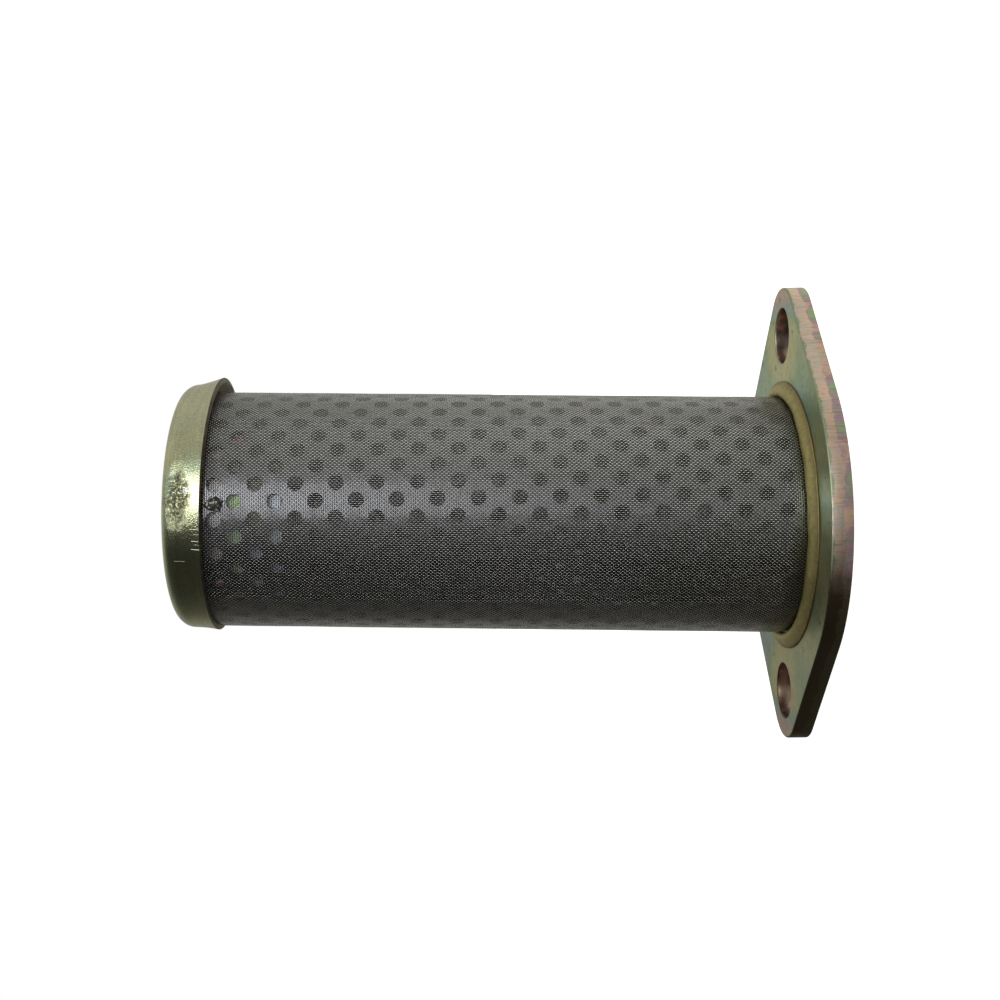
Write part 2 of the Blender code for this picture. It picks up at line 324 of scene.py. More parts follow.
def flange_bore_material():
    """The bore under the tube's foot, painted nearly black: painted shade in the recess."""
    material, tree, shader, place = new_material("Bore in painted shade", 0.6)
    grain = use_group(tree, grain_group, {"Vector": place, "Grain": 2600.0, "Pits": 700.0})
    colour = mix(tree, grain["Pits"], (0.05, 0.045, 0.035, 1.0), (0.02, 0.018, 0.015, 1.0))
    feed(tree, shader, Base_Color=colour, Normal=bumped(tree, grain["Height"], 0.03 * MILLIMETRE, 0.6))
    return material


def flange_outline(bm):
    """Draws the outline as four arcs with straight tangents between them, and the three holes inside it."""
    tangent = math.acos((MIDDLE_RADIUS - END_RADIUS) / BOLT_REACH)
    arcs = (
        (BOLT_REACH, END_RADIUS, -tangent, 2 * tangent),
        (0.0, MIDDLE_RADIUS, tangent, math.pi - 2 * tangent),
        (-BOLT_REACH, END_RADIUS, math.pi - tangent, 2 * tangent),
        (0.0, MIDDLE_RADIUS, math.pi + tangent, math.pi - 2 * tangent),
    )
    ends = []
    for middle, radius, start, angle in arcs:
        place = (middle + radius * math.cos(start), radius * math.sin(start), 0.0)
        first = bm.verts.new(place)
        arc = bmesh.ops.spin(
            bm, geom=[first], cent=(middle, 0.0, 0.0), axis=(0.0, 0.0, 1.0), angle=angle, steps=ARC_STEPS
        )
        last = [item for item in arc["geom_last"] if isinstance(item, bmesh.types.BMVert)][0]
        ends.append((first, last))
    for (_first, last), (first, _last) in zip(ends, ends[1:] + ends[:1]):
        bm.edges.new((last, first))
    holes = ((0.0, BORE_RADIUS), (-BOLT_REACH, BOLT_HOLE_RADIUS), (BOLT_REACH, BOLT_HOLE_RADIUS))
    for middle, radius in holes:
        centre = Matrix.Translation((middle, 0.0, 0.0))
        bmesh.ops.create_circle(bm, cap_ends=False, segments=2 * ARC_STEPS, radius=radius, matrix=centre)


bm = bmesh.new()
flange_outline(bm)
bmesh.ops.triangle_fill(bm, use_beauty=True, edges=bm.edges[:])
top = bmesh.ops.extrude_face_region(bm, geom=bm.faces[:])
raised = [item for item in top["geom"] if isinstance(item, bmesh.types.BMVert)]
bmesh.ops.translate(bm, vec=(0.0, 0.0, PLATE), verts=raised)
bmesh.ops.recalc_face_normals(bm, faces=bm.faces)
corners = [edge for edge in bm.edges if edge.is_manifold and edge.calc_face_angle() > math.radians(60)]
corners = [edge for edge in corners if abs(edge.verts[0].co.z - edge.verts[1].co.z) < PLATE / 2]
bmesh.ops.bevel(
    bm, geom=corners, offset=CORNER_BREAK, segments=3, profile=0.5, affect="EDGES", material=-1
)
for face in bm.faces:
    middle = face.calc_center_median()
    flat = abs(face.normal.z) > 0.999
    face.smooth = not flat
    in_bolt_hole = (Vector((abs(middle.x), middle.y)) - Vector((BOLT_REACH, 0.0))).length < BOLT_HOLE_RADIUS
    in_bore = middle.xy.length < BORE_RADIUS
    if flat:
        face.material_index = FACE
    elif in_bolt_hole:
        face.material_index = HOLE_WALL
    elif in_bore:
        face.material_index = BORE_WALL
    else:
        face.material_index = CUT_EDGE
new_piece(
    "mounting_flange_plate",
    bm,
    [flange_face_material(), flange_edge_material(), flange_hole_material(), flange_bore_material()],
    ["mounting_flange"],
)


# Weld bead
# A low bead of weld metal round the foot of the cloth, which holds the tube and the cloth on the
# flange. It was plated with the flange, so it is olive gold, dull and a little rough.

BEAD_INNER = 23.9 * MILLIMETRE
BEAD_OUTER = 27.4 * MILLIMETRE
BEAD_CREST = 24.9 * MILLIMETRE
BEAD_HEIGHT = 1.7 * MILLIMETRE
BEAD_STEPS = 180
BEAD_RIPPLE = 0.18 * MILLIMETRE


def bead_material():
    """Olive gold film, browner towards the bead's outer edge: weld colour, and painted shade in the crease
    at its foot.
    """
    material, tree, shader, place = new_material("Plated weld", 0.5)
    distance = length_of(tree, stretched(tree, place, (1.0, 1.0, 0.0)))
    clouds = noise_value(tree, place, 6 * MILLIMETRE, 3.0)
    film = maths(tree, "MULTIPLY_ADD", clouds, 0.30, -0.02, clamp=True)
    colour = use_group(tree, film_group, {"Thickness": film})["Color"]
    colour = mix(tree, 0.75, colour, (0.72, 0.60, 0.38, 1.0), "MULTIPLY")
    # Browner towards the outer foot: weld colour, and painted shade in the crease where the bead meets the
    # face
    brown = fade(tree, distance, 25.4 * MILLIMETRE, 27.3 * MILLIMETRE)
    colour = laid_over(tree, colour, (0.24, 0.16, 0.08), brown, 0.75)
    grain = use_group(tree, grain_group, {"Vector": place, "Grain": 3500.0, "Pits": 1500.0})
    colour = laid_over(tree, colour, (0.10, 0.08, 0.04), grain["Pits"], 0.45)
    tone = maths(tree, "MULTIPLY_ADD", noise_value(tree, place, 0.9 * MILLIMETRE, 4.0, 0.7), 1.1, 0.40)
    colour = toned(tree, 0.85, colour, tone)
    feed(tree, shader, Base_Color=colour, Normal=bumped(tree, grain["Height"], 0.16 * MILLIMETRE, 0.9))
    feed(tree, shader, Roughness=maths(tree, "MULTIPLY_ADD", grain["Height"], 0.3, 0.36))
    return material


def turned(profile, steps, closed=False):
    """A shape turned about Z from (radius, height) points. A closed profile runs back to its start."""
    bm = bmesh.new()
    points = [bm.verts.new((radius, 0.0, height)) for radius, height in profile]
    pairs = list(zip(points, points[1:]))
    if closed:
        pairs.append((points[-1], points[0]))
    lines = [bm.edges.new(pair) for pair in pairs]
    bmesh.ops.spin(
        bm, geom=points + lines, cent=(0.0, 0.0, 0.0), axis=(0.0, 0.0, 1.0), angle=math.tau, steps=steps,
        use_merge=True,
    )
    bmesh.ops.remove_doubles(bm, verts=bm.verts, dist=0.001 * MILLIMETRE)
    bmesh.ops.recalc_face_normals(bm, faces=bm.faces)
    return bm


profile = [
    (BEAD_INNER, 0.0),
    (BEAD_INNER, BEAD_HEIGHT * 0.92),
    (BEAD_CREST, BEAD_HEIGHT),
    (BEAD_OUTER - 1.5 * MILLIMETRE, BEAD_HEIGHT * 0.50),
    (BEAD_OUTER - 0.7 * MILLIMETRE, BEAD_HEIGHT * 0.18),
    (BEAD_OUTER, 0.0),
]
on_flange = [(radius, FLANGE_HIGH.z + height) for radius, height in profile]
bm = turned(on_flange, BEAD_STEPS, closed=True)
for vertex in bm.verts:
    if vertex.co.z - FLANGE_HIGH.z > 0.1 * MILLIMETRE:
        long_ripple = noise.noise(vertex.co / (4.0 * MILLIMETRE))
        short_ripple = noise.noise(vertex.co / (1.3 * MILLIMETRE))
        vertex.co.z += BEAD_RIPPLE * (long_ripple + 0.5 * short_ripple)
for face in bm.faces:
    face.smooth = True
bead = new_piece("weld_bead_fillet", bm, [bead_material()], ["weld_bead"])
rounding = bead.modifiers.new("Rounding", "SUBSURF")
rounding.levels = 1
rounding.render_levels = 1


# Core tube
# Perforated steel sheet, rolled into a tube and let into the flange. The 3 mm holes stand in
# staggered columns, and the blank was cut a little askew, so their rows climb round the tube. The
# tube was welded a little out of square, so all that belongs to it leans towards one bolt hole.

TUBE_LEAN = math.radians(1.8)
TUBE_PLACE = Matrix.Translation((0.0, 0.0, FLANGE_HIGH.z)) @ Matrix.Rotation(TUBE_LEAN, 4, "Y")
TUBE_RADIUS = 23.45 * MILLIMETRE
TUBE_WALL = 1.0 * MILLIMETRE
TUBE_FOOT = -2.5 * MILLIMETRE
TUBE_TOP = 118.1 * MILLIMETRE
HOLE_RADIUS = 1.5 * MILLIMETRE
HOLES_ROUND = 22
HOLE_COLUMNS = 29
FIRST_COLUMN = 5.0 * MILLIMETRE
COLUMN_PITCH = 3.8 * MILLIMETRE
FIRST_HOLE_ANGLE = math.radians(-76.2)
ROW_CLIMB = math.radians(-0.068) / MILLIMETRE


def tube_grid(radius, foot, top, divisions, columns, first, pitch):
    """An open tube with rings at the columns' heights, turned with the climb of the rows of holes.

    It gives the mesh and each inner vertex with its place on the grid, as (vertex, round, column).
    """
    bm = bmesh.new()
    length = top - foot
    middle = Matrix.Translation((0.0, 0.0, foot + length / 2))
    bmesh.ops.create_cone(
        bm, cap_ends=False, segments=divisions, radius1=radius, radius2=radius, depth=length, matrix=middle
    )
    upright = [edge for edge in bm.edges if abs(edge.verts[0].co.z - edge.verts[1].co.z) > length / 2]
    bmesh.ops.subdivide_edges(bm, edges=upright, cuts=columns, use_grid_fill=True)
    evenly = length / (columns + 1)
    sites = []
    for vertex in bm.verts:
        column = round((vertex.co.z - foot) / evenly) - 1
        step = round(math.atan2(vertex.co.y, vertex.co.x) / math.tau * divisions) % divisions
        if 0 <= column < columns:
            vertex.co.z = first + column * pitch
            sites.append((vertex, step, column))
        turn = FIRST_HOLE_ANGLE + ROW_CLIMB * (vertex.co.z - FIRST_COLUMN) + step / divisions * math.tau
        vertex.co.x = radius * math.cos(turn)
        vertex.co.y = radius * math.sin(turn)
    return bm, sites


def tube_material(name, shade):
    """The outside lies bare under the cloth. The inside is painted dark: painted shade inside the tube."""
    material, tree, shader, place = new_material(name, 0.45)
    clouds = noise_value(tree, place, 7 * MILLIMETRE, 4.0)
    colour = ramp(tree, clouds, [(0.3, (0.36, 0.36, 0.37)), (0.7, (0.42, 0.42, 0.43))])
    colour = mix(tree, 1.0, colour, (shade, shade, shade, 1.0), "MULTIPLY")
    grain = use_group(tree, grain_group, {"Vector": place, "Grain": 2200.0, "Pits": 600.0})
    feed(tree, shader, Base_Color=colour, Normal=bumped(tree, grain["Height"], 0.02 * MILLIMETRE, 0.6))
    feed(tree, shader, Roughness=maths(tree, "MULTIPLY_ADD", clouds, 0.03, 0.20))
    return material


bm, sites = tube_grid(
    TUBE_RADIUS, TUBE_FOOT, TUBE_TOP, 2 * HOLES_ROUND, HOLE_COLUMNS, FIRST_COLUMN, COLUMN_PITCH
)
# With this profile a bevelled vertex opens into a round hole, not a diamond
ROUND_HOLE_PROFILE = 1.5 - math.sqrt(2.0)
centres = [vertex for vertex, step, column in sites if (step + column) % 2 == 1]
opened = bmesh.ops.bevel(
    bm, geom=centres, offset=HOLE_RADIUS, offset_type="OFFSET", segments=4, profile=ROUND_HOLE_PROFILE,
    affect="VERTICES", material=-1,
)
bmesh.ops.delete(bm, geom=opened["faces"], context="FACES")
bmesh.ops.recalc_face_normals(bm, faces=bm.faces)
bmesh.ops.solidify(bm, geom=bm.faces[:], thickness=TUBE_WALL)
for face in bm.faces:
    face.smooth = True
    outside = face.calc_center_median().xy.length > TUBE_RADIUS - 0.2 * TUBE_WALL
    face.material_index = 0 if outside else 1
bm.transform(TUBE_PLACE)
# The inside's tone of 0.06 is painted shade
sheet = [tube_material("Perforated sheet", 1.0), tube_material("Perforated sheet inside", 0.06)]
tube = new_piece("core_tube_sheet", bm, sheet, ["core_tube"])
tube.data.set_sharp_from_angle(angle=math.radians(35))


# Wire cloth
# Plain woven stainless cloth, with 60 to 70 wires to the inch, wrapped once round the tube a little
# askew, with its edges lapped. It sinks a little over each hole and its wires stand or fall by turns, so
# each crossing catches the light by itself.

CLOTH_RADIUS = 23.75 * MILLIMETRE
CLOTH_THICKNESS = 0.12 * MILLIMETRE
CLOTH_FOOT = 1.2 * MILLIMETRE
CLOTH_TOP = 114.6 * MILLIMETRE
CLOTH_RELIEF = 0.07 * MILLIMETRE
CLOTH_WAVES = 0.05 * MILLIMETRE
CLOTH_WAVE_SIZE = 11.0 * MILLIMETRE
WARP_WIRES = 416
WARP_PITCH = math.tau * CLOTH_RADIUS / WARP_WIRES
WEFT_PITCH = 0.418 * MILLIMETRE
WIRE_SLANT = 0.0275
WIRE_RADIUS = 0.20
WEFT_CRIMP = 0.12
LAP_ANGLE = math.radians(-140)
LAP_WIDTH = 8.5 * MILLIMETRE
LAP_STEP = 0.22 * MILLIMETRE
WIRE_SHADOW = (0.02, 0.02, 0.018)


def weave_group():
    """A plain weave on UV that counts wires: masks of the wires and of their crests, normal and shade."""
    group, entry = new_group(
        "Wire weave",
        [("UV", "Vector", None), ("Wire radius", "Float", WIRE_RADIUS), ("Weft crimp", "Float", WEFT_CRIMP)],
        [
            ("Wire", "Float"), ("Crest", "Float"), ("Normal", "Color"), ("Shade", "Float"),
            ("Crossing", "Vector"),
        ],
    )
    radius = entry.outputs["Wire radius"]
    axes = axes_of(group, entry.outputs["UV"])
    u, v = axes["X"], axes["Y"]
    warp_wire = maths(group, "ROUND", u)
    weft_wire = maths(group, "ROUND", v)
    off_warp = maths(group, "SUBTRACT", u, warp_wire)
    off_weft = maths(group, "SUBTRACT", v, weft_wire)
    radius_squared = maths(group, "MULTIPLY", radius, radius)

    def half_height(off):
        left = maths(group, "SUBTRACT", radius_squared, maths(group, "MULTIPLY", off, off))
        return maths(group, "SQRT", maths(group, "MAXIMUM", left, 0.0))

    warp_half = half_height(off_warp)
    weft_half = half_height(off_weft)
    warp_turn = maths(group, "MULTIPLY", maths(group, "ADD", v, warp_wire), math.pi)
    weft_turn = maths(group, "MULTIPLY", maths(group, "ADD", u, weft_wire), math.pi)
    # Where two wires cross they touch, so what one wire bends less the other bends more
    weft_crimp = entry.outputs["Weft crimp"]
    warp_crimp = maths(group, "SUBTRACT", maths(group, "MULTIPLY", radius, 2.0), weft_crimp)
    warp_wave = maths(group, "MULTIPLY", maths(group, "COSINE", warp_turn), warp_crimp)
    weft_wave = maths(group, "MULTIPLY", maths(group, "COSINE", weft_turn), weft_crimp)
    warp_height = maths(group, "ADD", warp_half, warp_wave)
    weft_height = maths(group, "SUBTRACT", weft_half, weft_wave)
    on_warp = maths(group, "LESS_THAN", maths(group, "ABSOLUTE", off_warp), radius)
    on_weft = maths(group, "LESS_THAN", maths(group, "ABSOLUTE", off_weft), radius)
    higher = maths(group, "GREATER_THAN", warp_height, weft_height)
    no_weft = maths(group, "SUBTRACT", 1.0, on_weft)
    shows_warp = maths(group, "MULTIPLY", on_warp, maths(group, "MAXIMUM", higher, no_weft))
    wire = maths(group, "MAXIMUM", on_warp, on_weft)
    warp_steepest = maths(group, "MULTIPLY", warp_crimp, math.pi)
    weft_steepest = maths(group, "MULTIPLY", weft_crimp, math.pi)
    warp_slope = maths(group, "MULTIPLY", maths(group, "SINE", warp_turn), warp_steepest)
    weft_slope = maths(group, "MULTIPLY", maths(group, "SINE", weft_turn), weft_steepest)
    warp_normal = add_node(group, "CombineXYZ", {
        0: off_warp, 1: maths(group, "MULTIPLY", warp_half, warp_slope), 2: warp_half,
    }).outputs[0]
    weft_back = maths(group, "MULTIPLY", maths(group, "MULTIPLY", weft_half, weft_slope), -1.0)
    weft_normal = add_node(group, "CombineXYZ", {0: weft_back, 1: off_weft, 2: weft_half}).outputs[0]
    chosen = add_node(group, "Mix", {0: shows_warp, 4: weft_normal, 5: warp_normal}, data_type="VECTOR")
    unit = add_node(group, "VectorMath", {0: chosen.outputs[1]}, operation="NORMALIZE").outputs[0]
    halves = (0.5, 0.5, 0.5)
    packed = add_node(group, "VectorMath", {0: unit, 1: halves, 2: halves}, operation="MULTIPLY_ADD")
    depth = maths(group, "DIVIDE", mix_value(group, shows_warp, weft_height, warp_height), radius)
    crest = maths(group, "MULTIPLY", wire, maths(group, "GREATER_THAN", depth, 0.6))
    flank = maths(group, "DIVIDE", mix_value(group, shows_warp, weft_half, warp_half), radius)
    shade = maths(group, "MULTIPLY", fade(group, depth, -0.2, 2.4), fade(group, flank, 0.45, 1.0))
    crossing = add_node(group, "CombineXYZ", {0: warp_wire, 1: weft_wire, 2: shows_warp}).outputs[0]
    end_group(group, [wire, crest, packed.outputs[0], shade, crossing])
    return group


def cloth_material():
    """Bright wires with open gaps between them, each crossing of its own brightness."""
    material, tree, shader, place = new_material("Stainless wire cloth", 0.12)
    uv = add_node(tree, "UVMap", uv_map="Wires").outputs["UV"]
    weave = use_group(tree, weave_group(), {"UV": uv, "Wire radius": WIRE_RADIUS, "Weft crimp": WEFT_CRIMP})
    # The colour follows the weave's shade: painted shade on the wires' low parts and flanks, painted
    # highlight on their crests
    colour = ramp(tree, weave["Shade"], [
        (0.00, WIRE_SHADOW), (0.45, (0.28, 0.275, 0.26)), (0.80, (1.0, 0.98, 0.93)),
    ])
    by_wire = add_node(tree, "TexWhiteNoise", {0: weave["Crossing"]}, noise_dimensions="3D")
    tone = maths(tree, "MULTIPLY_ADD", by_wire.outputs["Value"], 0.5, 0.75)
    # The wires that run up the tube are painted brighter than those that run round it: painted highlight for
    # the glints on their crests
    on_warp = axes_of(tree, weave["Crossing"])["Z"]
    tone = maths(tree, "MULTIPLY", tone, maths(tree, "MULTIPLY_ADD", on_warp, 2.0, 0.30))
    colour = toned(tree, 1.0, colour, tone)
    # The shell's outer skin carries the crests. The rest of the wires lies on its other skin, in shadow
    inside_out = add_node(tree, "NewGeometry").outputs["Backfacing"]
    woven = mix_value(tree, inside_out, weave["Crest"], weave["Wire"])
    colour = laid_over(tree, colour, WIRE_SHADOW, inside_out, 0.93)
    normal = add_node(tree, "NormalMap", {"Color": weave["Normal"]}, uv_map="Wires").outputs[0]
    # Light passes the cloth more freely than sight, so that plated metal behind it shines
    seen = add_node(tree, "LightPath").outputs["Is Camera Ray"]
    alpha = maths(tree, "MULTIPLY", woven, maths(tree, "MULTIPLY_ADD", seen, 0.8, 0.2))
    feed(tree, shader, Base_Color=colour, Normal=normal, Alpha=alpha)
    return material


def wrap_wires(bm, name):
    """UV that counts wires: those that run up the tube, and those that run round it from lap to lap."""
    layer = bm.loops.layers.uv.new(name)
    cut = LAP_ANGLE + LAP_WIDTH / 2 / CLOTH_RADIUS
    for face in bm.faces:
        turns = [(math.atan2(loop.vert.co.y, loop.vert.co.x) - cut) % math.tau for loop in face.loops]
        over_cut = max(turns) - min(turns) > math.pi
        for loop, turn in zip(face.loops, turns):
            if over_cut and turn < math.pi:
                turn += math.tau
            around = turn * CLOTH_RADIUS
            height = loop.vert.co.z
            loop[layer].uv = (
                (around + WIRE_SLANT * height) / WARP_PITCH, (height - WIRE_SLANT * around) / WEFT_PITCH
            )


CLOTH_COLUMNS = 2 * HOLE_COLUMNS - 1
bm, sites = tube_grid(
    CLOTH_RADIUS, CLOTH_FOOT, CLOTH_TOP, 8 * HOLES_ROUND, CLOTH_COLUMNS, FIRST_COLUMN, COLUMN_PITCH / 2
)
over_hole = set()
for vertex, step, column in sites:
    if column % 2 == 0 and step % 4 == 0 and (step // 4 + column // 2) % 2 == 1:
        over_hole.add(vertex)
for vertex in bm.verts:
    turn = math.remainder(math.atan2(vertex.co.y, vertex.co.x) - LAP_ANGLE, math.tau)
    radius = CLOTH_RADIUS + CLOTH_WAVES * noise.noise(vertex.co / CLOTH_WAVE_SIZE)
    if vertex in over_hole:
        radius -= CLOTH_RELIEF
    if abs(turn) * CLOTH_RADIUS < LAP_WIDTH / 2:
        radius += LAP_STEP
    vertex.co.x *= radius / CLOTH_RADIUS
    vertex.co.y *= radius / CLOTH_RADIUS
bmesh.ops.recalc_face_normals(bm, faces=bm.faces)
bmesh.ops.solidify(bm, geom=bm.faces[:], thickness=CLOTH_THICKNESS)
wrap_wires(bm, "Wires")
bm.transform(TUBE_PLACE)
for face in bm.faces:
    face.smooth = True
new_piece("mesh_sleeve_cloth", bm, [cloth_material()], ["mesh_sleeve"])


# Inner band
# A strip of plated steel inside the closed end of the tube. It backs the spot welds of the cap, and
# it shows through the tube's last holes, where its film shines green, white and pink.

BAND_OUTER = 22.15 * MILLIMETRE
BAND_WALL = 0.8 * MILLIMETRE
BAND_FOOT = 98.9 * MILLIMETRE
BAND_STEPS = 144
BAND_RINGS = 20
BAND_WAVES = 0.22 * MILLIMETRE
BAND_WAVE_SIZE = 3.4 * MILLIMETRE
SEEN_FROM = math.radians(-88)


def cylinder_wrap(bm, name, radius):
    """UV in metres round the axis and up it."""
    layer = bm.loops.layers.uv.new(name)
    for face in bm.faces:
        turns = [math.atan2(loop.vert.co.y, loop.vert.co.x) for loop in face.loops]
        over_seam = max(turns) - min(turns) > math.pi
        for loop, turn in zip(face.loops, turns):
            if over_seam and turn < 0.0:
                turn += math.tau
            loop[layer].uv = (turn * radius, loop.vert.co.z)


def band_material():
    """Its film changes in steps up the band: blue white, dark olive, green and rosy white. The blue white at
    its foot is film colour and painted highlight together.
    """
    material, tree, shader, place = new_material("Zinc band", 0.35, 0.35)
    wrap = axes_of(tree, add_node(tree, "UVMap", uv_map="Wrap").outputs["UV"])
    sway = maths(tree, "SUBTRACT", noise_value(tree, place, 2.4 * MILLIMETRE, 3.0), 0.5)
    aside = maths(tree, "SUBTRACT", wrap["X"], SEEN_FROM * BAND_OUTER)
    height = maths(tree, "SUBTRACT", wrap["Y"], BAND_FOOT)
    sway = maths(tree, "MULTIPLY", sway, 0.12)
    level = maths(tree, "MULTIPLY_ADD", height, 1.0 / (TUBE_TOP - BAND_FOOT), sway)
    # The pale blue white at the foot is film colour and painted highlight together
    colour = ramp(tree, level, [
        (0.12, (0.78, 0.84, 0.94)), (0.17, (0.16, 0.15, 0.08)), (0.33, (0.14, 0.14, 0.07)),
        (0.38, (0.74, 0.94, 0.44)), (0.52, (0.66, 0.98, 0.54)), (0.60, (0.96, 0.89, 0.89)),
        (1.00, (0.74, 0.70, 0.60)),
    ])
    olive = fade(tree, aside, 4.0 * MILLIMETRE, 6.0 * MILLIMETRE)
    olive = maths(tree, "MULTIPLY", olive, fade(tree, level, 0.58, 0.50))
    colour = mix(tree, olive, colour, (0.14, 0.14, 0.07, 1.0))
    blue = fade(tree, aside, -6.0 * MILLIMETRE, -8.0 * MILLIMETRE)
    blue = maths(tree, "MULTIPLY", blue, fade(tree, level, 0.42, 0.34))
    colour = mix(tree, blue, colour, (0.62, 0.68, 0.82, 1.0))
    rosy = fade(tree, maths(tree, "ABSOLUTE", aside), 11.0 * MILLIMETRE, 13.5 * MILLIMETRE)
    rosy = maths(tree, "MULTIPLY", rosy, fade(tree, level, 0.34, 0.42))
    colour = mix(tree, rosy, colour, (0.85, 0.46, 0.44, 1.0))
    grain = use_group(tree, grain_group, {"Vector": place, "Grain": 1800.0, "Pits": 500.0})
    colour = laid_over(tree, colour, (0.10, 0.08, 0.05), grain["Pits"], 0.5)
    feed(tree, shader, Base_Color=colour, Normal=bumped(tree, grain["Height"], 0.05 * MILLIMETRE, 0.8))
    return material


band_rise = (TUBE_TOP - BAND_FOOT) / BAND_RINGS
bm = turned([(BAND_OUTER, BAND_FOOT + band_rise * ring) for ring in range(BAND_RINGS + 1)], BAND_STEPS)
if bm.faces[0].normal.dot(bm.faces[0].calc_center_median() * Vector((1.0, 1.0, 0.0))) < 0.0:
    bmesh.ops.reverse_faces(bm, faces=bm.faces)
for vertex in bm.verts:
    wave = BAND_WAVES * (noise.noise(vertex.co / BAND_WAVE_SIZE) - 0.5)
    vertex.co.x *= 1.0 + wave / BAND_OUTER
    vertex.co.y *= 1.0 + wave / BAND_OUTER
bmesh.ops.solidify(bm, geom=bm.faces[:], thickness=BAND_WALL)
cylinder_wrap(bm, "Wrap", BAND_OUTER)
bm.transform(TUBE_PLACE)
for face in bm.faces:
    face.smooth = True
band = new_piece("inner_band_strip", bm, [band_material()], ["inner_band"])
band.data.set_sharp_from_angle(angle=math.radians(35))


# End cap
# A cup drawn from 1 mm sheet, its skirt flared, pushed over the tube's end a little off centre and
# spot welded to the band inside. It is yellow zinc plated and half bright; the spot weld burnt a
# mottled patch into it, and the press left scratches at its rim.

RIM_HEIGHT = 113.7 * MILLIMETRE
CAP_RADIUS = 24.7 * MILLIMETRE
CAP_WALL = 1.0 * MILLIMETRE
CAP_DEPTH = 7.7 * MILLIMETRE
CAP_CORNER = 3.0 * MILLIMETRE
CAP_FLARE_LENGTH = 4.7 * MILLIMETRE
CAP_OFFSET = 0.55 * MILLIMETRE
CAP_TILT = math.radians(0.6)
CAP_STEPS = 160
CAP_CORNER_STEPS = 10
FLARE_SPREAD = 0.95 * MILLIMETRE
FLARE_UNEVEN = 0.57 * MILLIMETRE
FLARE_WIDEST = math.radians(25)
SKIRT_MATT_HEIGHT = 2.5 * MILLIMETRE
CAP_SIDE, SHEARED_RIM, SKIRT_INSIDE = range(3)
CAP_PLACE = (
    TUBE_PLACE @ Matrix.Translation((CAP_OFFSET, 0.0, RIM_HEIGHT)) @ Matrix.Rotation(CAP_TILT, 4, "Y")
)
BURN_ANGLE = math.radians(-83.0)
BURN_HEIGHT = 4.3 * MILLIMETRE
SPOT_WELD_ANGLE = math.radians(-80.0)
SPOT_WELD_HEIGHT = 2.7 * MILLIMETRE
# Each scratch has its place round the cap in degrees, and its height, length and half width in millimetres
SCRATCHES = (
    (-96.4, 0.75, 2.0, 0.12), (-101.6, 0.75, 1.8, 0.12), (-105.3, 0.75, 2.0, 0.12), (-111.4, 4.0, 2.4, 0.06),
    (-98.6, 0.5, 1.3, 0.08), (-103.2, 0.5, 1.2, 0.08), (-92.6, 0.5, 1.2, 0.08),
)


def distance_from(tree, wrap, angle, height, narrow):
    """How far a point of the cap's UV lies from a place on it, with the way round shortened."""
    spot = (angle * CAP_RADIUS, height, 0.0)
    away = add_node(tree, "VectorMath", {0: wrap, 1: spot}, operation="SUBTRACT").outputs[0]
    return length_of(tree, stretched(tree, away, (narrow, 1.0, 1.0)))


def scratch(tree, wrap, angle, height, length, width):
    """A mask of one scratch along the cap's height, on UV of (way round, height) in metres."""
    axes = axes_of(tree, wrap)
    across = maths(tree, "ABSOLUTE", maths(tree, "SUBTRACT", axes["X"], angle * CAP_RADIUS))
    along = maths(tree, "ABSOLUTE", maths(tree, "SUBTRACT", axes["Y"], height))
    thin = fade(tree, across, width, width * 0.3)
    ends = fade(tree, along, length / 2, length / 4)
    return maths(tree, "MULTIPLY", thin, ends)


